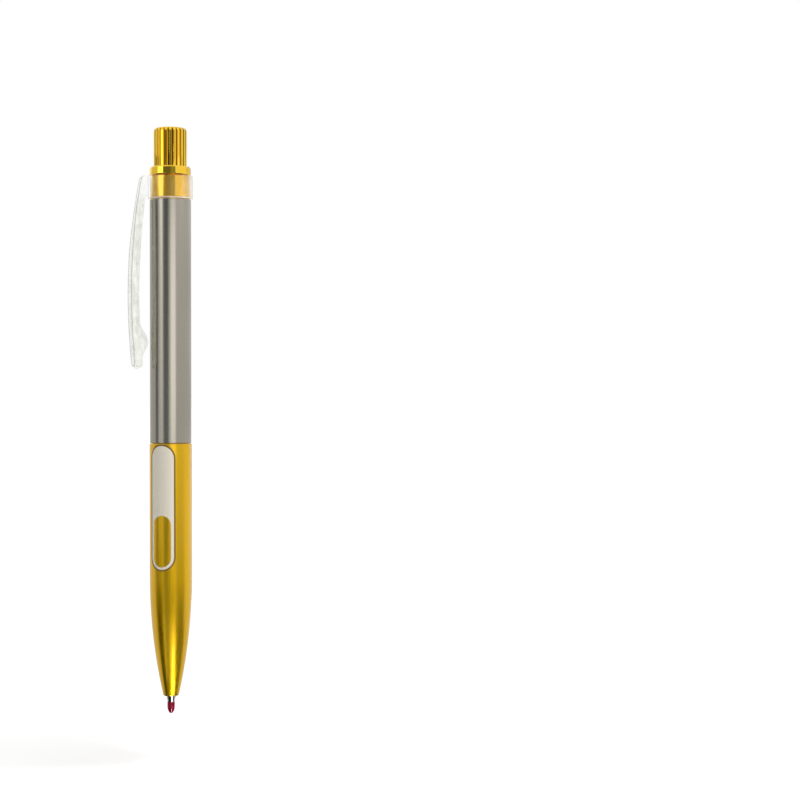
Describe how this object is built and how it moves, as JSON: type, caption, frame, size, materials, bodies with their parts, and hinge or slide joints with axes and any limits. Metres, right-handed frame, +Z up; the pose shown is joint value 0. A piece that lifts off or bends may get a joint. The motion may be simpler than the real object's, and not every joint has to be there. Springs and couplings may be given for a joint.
{
  "type": "twist gel pen",
  "caption": "Slim gel pen with a fluted twist knob that draws the refill in, a clear clip on a ring, and a metal barrel that unscrews above a tapered grip.",
  "frame": {"origin": "on the pen's axis at its lowest point, the end of the seal drop on the writing tip", "axes": "+Z up the pen's axis from the tip to the knob, -X towards the clip"},
  "size_m": [0.0152, 0.0106, 0.1398],
  "materials": {
    "gold_anodised": "satin anodised",
    "silver_anodised": "satin anodised",
    "brass": "turned",
    "steel": "bright",
    "clear_plastic": "clear, polished mould",
    "natural_plastic": "translucent, extruded",
    "white_plastic": "moulded",
    "rubber": "matte",
    "red_ink": "wet gel",
    "grease": "clear",
    "red_seal": "glossy",
    "carbide": "polished"
  },
  "bodies": {
    "barrel": {"upper_barrel": "silver_anodised", "barrel_coupling": "brass", "clip": "clear_plastic", "clip_collar": "gold_anodised", "guide_sleeve": "white_plastic", "retaining_ring": "steel"},
    "knob": {"twist_knob": "gold_anodised", "knob_spindle": "brass", "drag_ring": "rubber", "cam_rotor": "white_plastic"},
    "refill": {"follower": "white_plastic", "cross_pin": "steel", "refill_tail_plug": "white_plastic", "refill_tube": "natural_plastic", "ink_column": "red_ink", "ink_follower": "grease", "tip_holder": "white_plastic", "tip_body": "steel"},
    "ball": {"writing_ball": "carbide"},
    "seal": {"tip_seal": "red_seal"},
    "spring": {"return_spring": "steel"},
    "grip": {"lower_barrel": "gold_anodised"}
  },
  "joints": [
    {"name": "knob_turn", "type": "hinge", "parent": "barrel", "child": "knob", "pos_m": [0, 0, 0.13], "axis": [0, 0, 1], "range_deg": [0, 180]},
    {"name": "refill_slide", "type": "slide", "parent": "barrel", "child": "refill", "axis": [0, 0, 1], "range_m": [0, 0.006], "deforming": ["return_spring"]},
    {"name": "seal_pull", "type": "slide", "parent": "refill", "child": "seal", "axis": [0, 0, -1], "range_m": [0, 0.008]},
    {"name": "ball_roll", "type": "hinge", "parent": "refill", "child": "ball", "pos_m": [0, 0, 0.0008], "axis": [1, 0, 0], "continuous": true},
    {"name": "barrel_travel", "type": "slide", "parent": "barrel", "child": "spring", "axis": [0, 0, -1], "range_m": [0, 0.004]},
    {"name": "barrel_unscrew", "type": "hinge", "parent": "spring", "child": "grip", "pos_m": [0, 0, 0.06], "axis": [0, 0, -1], "range_deg": [0, 1440]}
  ],
  "couplings": [
    {"joint": "knob_turn", "follows": "refill_slide", "rad_per_m": 523.6},
    {"joint": "barrel_unscrew", "follows": "barrel_travel", "rad_per_m": 6283.2}
  ]
}
